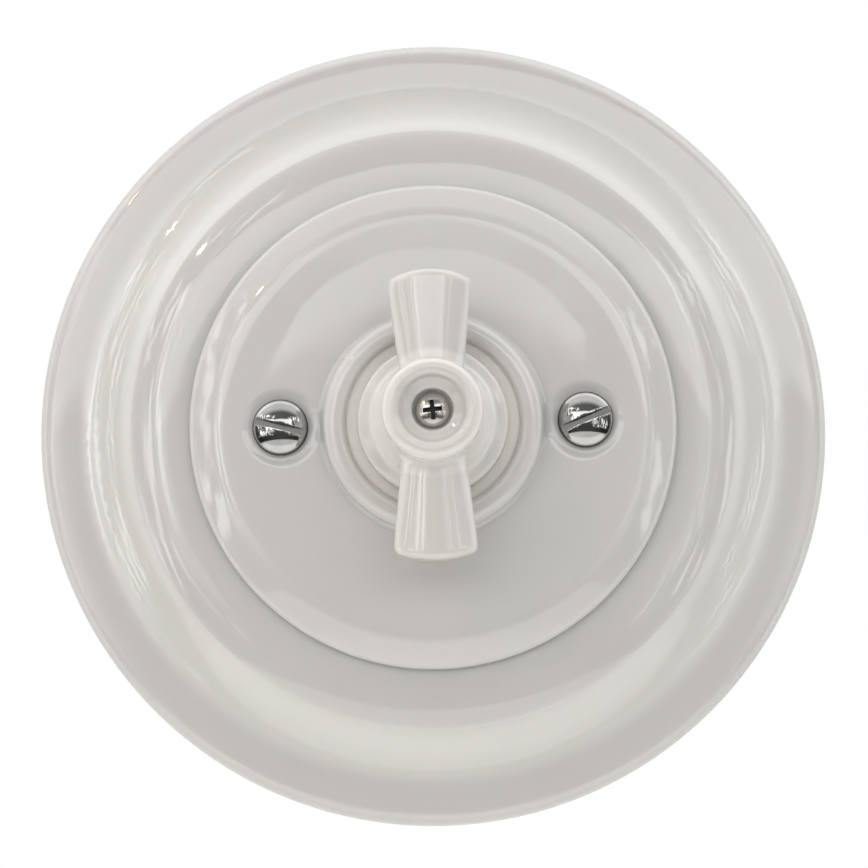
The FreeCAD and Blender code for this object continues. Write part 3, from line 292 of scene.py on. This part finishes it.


# Outer frame. One ring of hard porcelain, pressed, glazed and fired on its foot, so that the
# foot is the only bare part of it. The glaze is clear, thick and glossy and holds a few fine
# specks. The cove is painted whiter, painted light that brightens it.

def glazed_porcelain(name, pale, deep, bare_depth, painted_light_tone, painted_light_radius, painted_light_width):
    """Hard porcelain under a clear glaze: light sinks a little into the white body, and the
    glaze over it is smooth and very slightly wavy. Beyond the bare depth there is none. Round
    the painted light radius the body is painted whiter: painted light that brightens the ring
    there."""
    material = new_material(name)
    place = add_node(material, "TexCoord").outputs["Object"]
    cloud = add_node(material, "TexNoise", {"Scale": 1 / (16 * MM), "Detail": 2.0},
                     {"Vector": place})
    flow = add_node(material, "TexNoise", {"Scale": 1 / (7 * MM), "Detail": 1.0},
                    {"Vector": place})
    pores = add_node(material, "TexVoronoi", {"Scale": 1 / (3.2 * MM)}, {"Vector": place})
    chalk = add_node(material, "TexNoise", {"Scale": 1 / (0.4 * MM), "Detail": 2.0},
                     {"Vector": place})
    depth = add_node(material, "SeparateXYZ", {}, {"Vector": place})
    bare = add_node(material, "MapRange", {"From Min": bare_depth - 0.15 * MM,
                                           "From Max": bare_depth + 0.15 * MM},
                    {"Value": depth.outputs["Y"]})
    tone = add_node(material, "Mix", {"data_type": "RGBA", 6: linear(pale), 7: linear(deep)},
                    {0: cloud.outputs["Fac"]})
    dots = add_node(material, "MapRange", {"From Min": 0.012, "From Max": 0.03, "To Min": 0.4,
                                           "To Max": 0.0}, {"Value": pores.outputs["Distance"]})
    skin = add_node(material, "Mix", {"data_type": "RGBA", 7: linear("#9B8F80")},
                    {0: dots.outputs[0], 6: tone.outputs[2]})
    # Painted light: a whiter band round the given radius brightens the ring there.
    across = add_node(material, "VectorMath", {"operation": "MULTIPLY", 1: (1, 0, 1)},
                      {0: place})
    radius = add_node(material, "VectorMath", {"operation": "LENGTH"}, {0: across.outputs[0]})
    offset = add_node(material, "Math", {"operation": "SUBTRACT", 1: painted_light_radius},
                      {0: radius.outputs["Value"]})
    beside = add_node(material, "Math", {"operation": "ABSOLUTE"}, {0: offset.outputs[0]})
    painted_light_mask = add_node(material, "MapRange",
                      {"interpolation_type": "SMOOTHSTEP", "From Min": 0.5 * painted_light_width,
                       "From Max": painted_light_width, "To Min": 1.0, "To Max": 0.0},
                      {"Value": beside.outputs[0]})
    skin_with_painted_light = add_node(material, "Mix", {"data_type": "RGBA", 7: linear(painted_light_tone)},
                      {0: painted_light_mask.outputs[0], 6: skin.outputs[2]})
    body = add_node(material, "Mix", {"data_type": "RGBA", 7: linear("#E4DED2")},
                    {0: bare.outputs[0], 6: skin_with_painted_light.outputs[2]})
    matt = add_node(material, "MapRange", {"To Min": 0.42, "To Max": 0.85},
                    {"Value": bare.outputs[0]})
    glaze = add_node(material, "MapRange", {"To Min": 1.0, "To Max": 0.0},
                     {"Value": bare.outputs[0]})
    wave = add_node(material, "Bump", {"Strength": 0.35, "Distance": 0.05 * MM},
                    {"Height": flow.outputs["Fac"]})
    rough = add_node(material, "Bump", {"Strength": 0.25, "Distance": 0.02 * MM},
                     {"Height": chalk.outputs["Fac"]})
    shader = add_node(material, "BsdfPrincipled",
                      {"Subsurface Weight": 0.5, "Subsurface Radius": (1.5, 1.25, 1.1),
                       "Subsurface Scale": 1.6 * MM, "Coat Roughness": 0.04, "Coat IOR": 1.6},
                      {"Base Color": body.outputs[2], "Roughness": matt.outputs[0],
                       "Coat Weight": glaze.outputs[0], "Coat Normal": wave.outputs[0],
                       "Normal": rough.outputs[0]})
    return finish_material(material, shader)


FOOT_DEPTH = -0.3 * MM
# Round the cove radius the frame is painted whiter: painted light that brightens the cove.
COVE_RADIUS = 41.3 * MM
COVE_WIDTH = 4.2 * MM
porcelain = glazed_porcelain("glazed_hard_porcelain", "#CBC9C6", "#C5C2BF", FOOT_DEPTH,
                             "#D5D3CF", COVE_RADIUS, COVE_WIDTH)
rounded("outer_frame", 0.3 * MM, porcelain, "fixed", "glazed_porcelain")


# Cover. One porcelain cap of the same body and glaze, screwed down on the frame. Its face rises
# to the collar round the knob, and the glaze softens the edges of the two dishes. It is glazed
# all over: the bare depth lies behind every piece.

GLAZED_OVER = 60 * MM
# Round the valley radius by the knob the cover is painted much whiter: painted light that lifts the
# shade in the valley.
VALLEY_RADIUS = 10.1 * MM
VALLEY_WIDTH = 1.0 * MM
cover_porcelain = glazed_porcelain("glazed_cover_porcelain", "#CECCC9", "#C7C4C1", GLAZED_OVER,
                                   "#EFEBE6", VALLEY_RADIUS, VALLEY_WIDTH)
rounded("cover_plate", 0.3 * MM, cover_porcelain, "fixed", "glazed_porcelain")


# Cover screws. Two slotted brass screws with domed heads, chrome plated and polished, so bright
# that they are seen by what they mirror. Handling has left fine scratches, and the slots and
# the rims of the heads are painted dark, painted shade.

def chromed(name, dark, light, smooth, dull, crown, shade_start_depth, shade_full_depth):
    """Chrome plate with a faint haze and fine scratches. From the shade start depth to the shade
    full depth it is painted darker and made rougher: painted shade in the rims and recesses. Depth
    is measured under a dome that falls from the axis by its crown times the distance squared."""
    material = new_material(name)
    place = add_node(material, "TexCoord").outputs["Object"]
    haze = add_node(material, "TexNoise", {"Scale": 1 / (1.5 * MM), "Detail": 3.0},
                    {"Vector": place})
    scratches = add_node(material, "TexNoise", {"Scale": 1 / (0.15 * MM), "Detail": 1.0},
                         {"Vector": place})
    depth = add_node(material, "SeparateXYZ", {}, {"Vector": place})
    across = add_node(material, "VectorMath", {"operation": "MULTIPLY", 1: (1, 0, 1)},
                      {0: place})
    square = add_node(material, "VectorMath", {"operation": "DOT_PRODUCT"},
                      {0: across.outputs[0], 1: across.outputs[0]})
    under = add_node(material, "Math", {"operation": "MULTIPLY_ADD", 1: -crown},
                     {0: square.outputs["Value"], 2: depth.outputs["Y"]})
    # Painted shade: below the start depth the chrome is painted dark and dulled.
    painted_shade = add_node(material, "MapRange",
                     {"interpolation_type": "SMOOTHSTEP", "From Min": shade_start_depth,
                      "From Max": shade_full_depth, "To Max": 0.95}, {"Value": under.outputs[0]})
    tone = add_node(material, "Mix", {"data_type": "RGBA", 6: linear(dark), 7: linear(light)},
                    {0: haze.outputs["Fac"]})
    skin = add_node(material, "Mix", {"data_type": "RGBA", 7: linear("#1F1D1B")},
                    {0: painted_shade.outputs[0], 6: tone.outputs[2]})
    polish = add_node(material, "MapRange", {"To Min": smooth, "To Max": dull},
                      {"Value": haze.outputs["Fac"]})
    gloss = add_node(material, "Mix", {"data_type": "FLOAT", 3: 0.5},
                     {0: painted_shade.outputs[0], 2: polish.outputs[0]})
    bump = add_node(material, "Bump", {"Strength": 0.12, "Distance": 0.004 * MM},
                    {"Height": scratches.outputs["Fac"]})
    shader = add_node(material, "BsdfPrincipled", {"Metallic": 1.0},
                      {"Base Color": skin.outputs[2], "Roughness": gloss.outputs[0],
                       "Normal": bump.outputs[0]})
    return finish_material(material, shader)


# Painted shade darkens the heads from this depth below their tops down to the next.
RIM_SHADE_START = 0.95 * MM
RIM_SHADE_FULL = 1.3 * MM
head_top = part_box("cover_screw_left")[0][1]
chrome = chromed("polished_chrome", "#A5A4A2", "#C0BFBD", 0.04, 0.12, 0, head_top + RIM_SHADE_START,
                 head_top + RIM_SHADE_FULL)
for side in ("left", "right"):
    rounded("cover_screw_" + side, 0.14 * MM, chrome, "fixed", "chrome_screw")


# Knob. One porcelain piece with a turned skirt and boss and two wings. Wet clay was sponged
# where the wings leave the boss and the glaze has filled in there, so those corners are round
# and run into each other.

CLAY_GRAIN = 0.22 * MM
ROOT_INSIDE = 5.2 * MM
ROOT_OUTSIDE = 8.8 * MM
ROOT_HEIGHT = 3.6 * MM
ROOT_WIPES = 24
TIP_LENGTH = 3.0 * MM
TIP_WIPES = 14
LAST_WIPES = 4
SKIRT_RADIUS = 6.8 * MM
SKIRT_WIDTH = 1.6 * MM


def sponge(form, vertices, wipes):
    """Wipe these vertices of a form smooth, a little with each wipe."""
    for wipe in range(wipes):
        bmesh.ops.smooth_vert(form, verts=vertices, factor=0.5, use_axis_x=True,
                              use_axis_y=True, use_axis_z=True)


# An even skin of small faces goes over the solid first, so that the sponge takes hold anywhere.
form = solid_form("knob")
mesh = bpy.data.meshes.new("knob_finish")
form.to_mesh(mesh)
form.free()
sponged = bpy.data.objects.new("knob_sponged", mesh)
bpy.context.scene.collection.objects.link(sponged)
skin = sponged.modifiers.new("even_skin", "REMESH")
skin.mode = "VOXEL"
skin.voxel_size = CLAY_GRAIN
mesh = bpy.data.meshes.new_from_object(
    sponged.evaluated_get(bpy.context.evaluated_depsgraph_get()))
bpy.data.objects.remove(sponged)
form = bmesh.new()
form.from_mesh(mesh)
knob_far_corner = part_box("knob")[1]
root_front = knob_far_corner[1] - ROOT_HEIGHT
tip_start = knob_far_corner[2] - TIP_LENGTH
roots = [vertex for vertex in form.verts
         if ROOT_INSIDE < math.hypot(vertex.co.x, vertex.co.z) < ROOT_OUTSIDE
         and vertex.co.y < root_front]
sponge(form, roots, ROOT_WIPES)
sponge(form, [vertex for vertex in form.verts if abs(vertex.co.z) > tip_start], TIP_WIPES)
sponge(form, form.verts, LAST_WIPES)
form.to_mesh(mesh)
form.free()
# Round the skirt radius the knob is painted whiter: painted light that brightens it there.
knob_porcelain = glazed_porcelain("glazed_knob_porcelain", "#D5D2CE", "#CDCAC6", GLAZED_OVER,
                                  "#DFDCD8", SKIRT_RADIUS, SKIRT_WIDTH)
new_piece("knob_finish", mesh, knob_porcelain, "rotor", "knob_porcelain", "knob")


# Knob screw. A small cross-headed screw at the bottom of the cup of the knob. It is chromed
# without a polish, so it is brighter and softer than the cover screws, and its cross is painted
# dark, painted shade.

KNOB_SCREW_CROWN = 0.14 / MM
# Painted shade darkens the cross from its edge depth down to its floor.
CROSS_EDGE = 0.12 * MM
CROSS_FLOOR = 0.3 * MM
head_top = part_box("knob_screw")[0][1]
satin_chrome = chromed("satin_chrome", "#C2BEB8", "#DAD8D4", 0.12, 0.26, KNOB_SCREW_CROWN,
                       head_top + CROSS_EDGE, head_top + CROSS_FLOOR)
rounded("knob_screw", 0.08 * MM, satin_chrome, "rotor", "knob_screw_chrome")


# Room. The switch hangs on a wall, so the pale floor is far below it. The surround is bright to
# the sides and above, with two windows behind drapes, two panels over the camera and two strips
# that only glossy faces mirror, and it is dim where the camera stands.

FLOOR_RADIUS = 0.8
FLOOR_HEIGHT = -0.45
floor_form = bmesh.new()
bmesh.ops.create_circle(floor_form, cap_ends=True, segments=96, radius=FLOOR_RADIUS)
bmesh.ops.translate(floor_form, verts=floor_form.verts, vec=(0, 0, FLOOR_HEIGHT))
floor_mesh = bpy.data.meshes.new("floor")
floor_form.to_mesh(floor_mesh)
floor_form.free()
floor = bpy.data.objects.new("floor", floor_mesh)
bpy.context.scene.collection.objects.link(floor)

# Pale paper: clouds of fibre of about 4 mm barely change its tone.
paper = new_material("pale_paper")
place = add_node(paper, "TexCoord").outputs["Object"]
fibre = add_node(paper, "TexNoise", {"Scale": 1 / (4 * MM), "Detail": 3.0}, {"Vector": place})
tone = add_node(paper, "Mix", {"data_type": "RGBA", 6: linear("#E6E5E2"), 7: linear("#EBEAE7")},
                {0: fibre.outputs["Fac"]})
shader = add_node(paper, "BsdfPrincipled", {"Roughness": 0.9}, {"Base Color": tone.outputs[2]})
finish_material(paper, shader)
floor.data.materials.append(paper)

surround = bpy.data.worlds.new("surround")
surround.use_nodes = True
bpy.context.scene.world = surround
way = add_node(surround, "TexCoord").outputs["Generated"]
rays = add_node(surround, "LightPath")
mirrored = rays.outputs["Is Glossy Ray"]


def bright_field(azimuth, tilt, half_width, half_height, softness, strength):
    """A bright field with soft edges in the surround. Azimuth turns anticlockwise from the
    right as the camera sees it, and tilt is from the camera's side outwards. These and the
    half sizes and the softness of the edges are in degrees."""
    azimuth, tilt = math.radians(azimuth), math.radians(tilt)
    middle = Vector((math.sin(tilt) * math.cos(azimuth), -math.cos(tilt),
                     math.sin(tilt) * math.sin(azimuth)))
    across = middle.cross(Vector((0, 0, 1))).normalized()
    up = across.cross(middle).normalized()
    nearness, sideways, upwards = [
        add_node(surround, "VectorMath", {"operation": "DOT_PRODUCT", 1: axis}, {0: way})
        for axis in (middle, across, up)]
    level = add_node(surround, "MapRange", {"From Min": 0.0, "From Max": 0.1, "To Min": 0.0,
                                            "To Max": strength},
                     {"Value": nearness.outputs["Value"]}).outputs[0]
    for shift, half in ((sideways, half_width), (upwards, half_height)):
        inside, outside = math.radians(half - softness), math.radians(half + softness)
        distance = add_node(surround, "Math", {"operation": "ABSOLUTE"},
                            {0: shift.outputs["Value"]})
        edge = add_node(surround, "MapRange",
                        {"interpolation_type": "SMOOTHSTEP", "From Min": math.sin(outside),
                         "From Max": math.sin(inside)}, {"Value": distance.outputs[0]})
        level = add_node(surround, "Math", {"operation": "MULTIPLY"},
                         {0: level, 1: edge.outputs[0]}).outputs[0]
    return level


# Two windows beside the camera, two panels over it and two strips that gloss alone mirrors.
windows = add_node(surround, "Math", {"operation": "ADD"},
                   {0: bright_field(165, 44, 21, 26, 2, 0.55),
                    1: bright_field(10, 43, 20, 24, 2, 0.46)})
panels = add_node(surround, "Math", {"operation": "ADD"},
                  {0: bright_field(90, 17.5, 30, 8.6, 0.9, 1.8),
                   1: bright_field(90, 66, 60, 14, 8, 0.9)})
strips = add_node(surround, "Math", {"operation": "ADD"},
                  {0: bright_field(180, 25, 7, 9, 1.5, 0.8),
                   1: bright_field(0, 25, 7, 9, 1.5, 0.6)})

# The drapes hang in folds, so their pattern is drawn out in height.
stretch = add_node(surround, "Mapping", {"Scale": (1.0, 1.0, 0.2)}, {"Vector": way})
folds = add_node(surround, "TexNoise", {"Scale": 17.0, "Detail": 3.0},
                 {"Vector": stretch.outputs[0]})
drape = add_node(surround, "MapRange", {"From Min": 0.53, "From Max": 0.62, "To Min": 0.15,
                                        "To Max": 6.5}, {"Value": folds.outputs["Fac"]})

# The room is brightest in a ring round the edge of the wall and fair behind the wall. It is dim
# in front, and a little less so towards the ceiling and close to the camera.
towards_camera = add_node(surround, "VectorMath", {"operation": "DOT_PRODUCT", 1: (0, -1, 0)},
                          {0: way}).outputs["Value"]
upwards = add_node(surround, "VectorMath", {"operation": "DOT_PRODUCT", 1: (0, 0, 1)},
                   {0: way}).outputs["Value"]
front = add_node(surround, "MapRange",
                 {"interpolation_type": "SMOOTHSTEP", "From Min": 0.5, "From Max": 0.95,
                  "To Min": 0.08, "To Max": 0.24}, {"Value": towards_camera})
ceiling = add_node(surround, "MapRange", {"From Min": -0.3, "From Max": 0.8, "To Min": 0.0,
                                          "To Max": 0.36}, {"Value": upwards})
dim_room = add_node(surround, "Math", {"operation": "ADD"},
                    {0: front.outputs[0], 1: ceiling.outputs[0]})
edge_on = add_node(surround, "Math", {"operation": "ABSOLUTE"}, {0: towards_camera})
ring = add_node(surround, "MapRange",
                {"interpolation_type": "SMOOTHSTEP", "From Min": 0.1, "From Max": 0.34,
                 "To Min": 1.1, "To Max": 0.0}, {"Value": edge_on.outputs[0]})
rear = add_node(surround, "MapRange",
                {"interpolation_type": "SMOOTHSTEP", "From Min": -0.3, "From Max": -0.1,
                 "To Min": 0.7, "To Max": 0.0}, {"Value": towards_camera})

# Glossy faces mirror a dimmer room and a brighter ring than the ones that light the clay.
dimmed = add_node(surround, "MapRange", {"To Min": 1.0, "To Max": 0.4}, {"Value": mirrored})
lifted = add_node(surround, "MapRange", {"To Min": 0.75, "To Max": 1.35}, {"Value": mirrored})
light = add_node(surround, "Math", {"operation": "ADD"},
                 {0: rear.outputs[0], 1: panels.outputs[0]})
for glow, strength in ((dim_room, dimmed.outputs[0]), (ring, lifted.outputs[0]),
                       (windows, drape.outputs[0]), (strips, mirrored)):
    light = add_node(surround, "Math", {"operation": "MULTIPLY_ADD"},
                     {0: glow.outputs[0], 1: strength, 2: light.outputs[0]})

# The camera itself sees plain white behind the switch.
seen = add_node(surround, "Mix", {"data_type": "FLOAT", 3: 1.0},
                {0: rays.outputs["Is Camera Ray"], 2: light.outputs[0]})
background = surround.node_tree.nodes["Background"]
background.inputs["Color"].default_value = (1, 1, 1, 1)
surround.node_tree.links.new(seen.outputs[0], background.inputs["Strength"])

# A small warm lamp high on the left leaves the sharp points of light on the glaze.
LAMP_PLACE = Vector((-0.62, -0.75, 0.64))
lamp = bpy.data.lights.new("wall_lamp", "AREA")
lamp.shape = "DISK"
lamp.size = 0.03
lamp.energy = 0.5
lamp.color = linear("#FFD9A8")[:3]
wall_lamp = bpy.data.objects.new("wall_lamp", lamp)
wall_lamp.location = LAMP_PLACE
wall_lamp.rotation_euler = (-LAMP_PLACE).to_track_quat("-Z", "Z").to_euler()
wall_lamp.visible_camera = False
bpy.context.scene.collection.objects.link(wall_lamp)

# A wide panel just over the floor faces up and lights the underside.
low_panel = bpy.data.lights.new("low_panel", "AREA")
low_panel.shape = "RECTANGLE"
low_panel.size = 1.1
low_panel.size_y = 0.3
low_panel.energy = 0.45
low_light = bpy.data.objects.new("low_panel", low_panel)
low_light.location = (0.0, -0.27, FLOOR_HEIGHT + 0.02)
low_light.rotation_euler = (math.pi, 0, 0)
low_light.visible_camera = False
bpy.context.scene.collection.objects.link(low_light)

# The camera stands a little below the axis, as it did for the photo. Its lens makes each
# millimetre at the aim as many pixels wide as it is there.
CAMERA_DISTANCE = 0.610
CAMERA_ELEVATION = math.radians(-6.6)
CAMERA_ROLL = math.radians(1.5)
PIXELS_PER_MM = 7.87
PICTURE_WIDTH = 868
SENSOR_WIDTH = 36.0
camera_data = bpy.data.cameras.new("camera")
camera_data.sensor_width = SENSOR_WIDTH
camera_data.lens = PIXELS_PER_MM * SENSOR_WIDTH * (CAMERA_DISTANCE / MM) / PICTURE_WIDTH
camera_data.clip_start = 0.01
camera = bpy.data.objects.new("camera", camera_data)
bpy.context.scene.collection.objects.link(camera)
aim = Vector((0.0001, -0.0054, -0.0004))
back = Vector((0, -math.cos(CAMERA_ELEVATION), math.sin(CAMERA_ELEVATION)))
camera.location = aim + back * CAMERA_DISTANCE
look = (-back).to_track_quat("-Z", "Y").to_matrix()
camera.rotation_euler = (look @ Matrix.Rotation(-CAMERA_ROLL, 3, "Z")).to_euler()
bpy.context.scene.camera = camera
bpy.context.scene.view_settings.view_transform = "Standard"
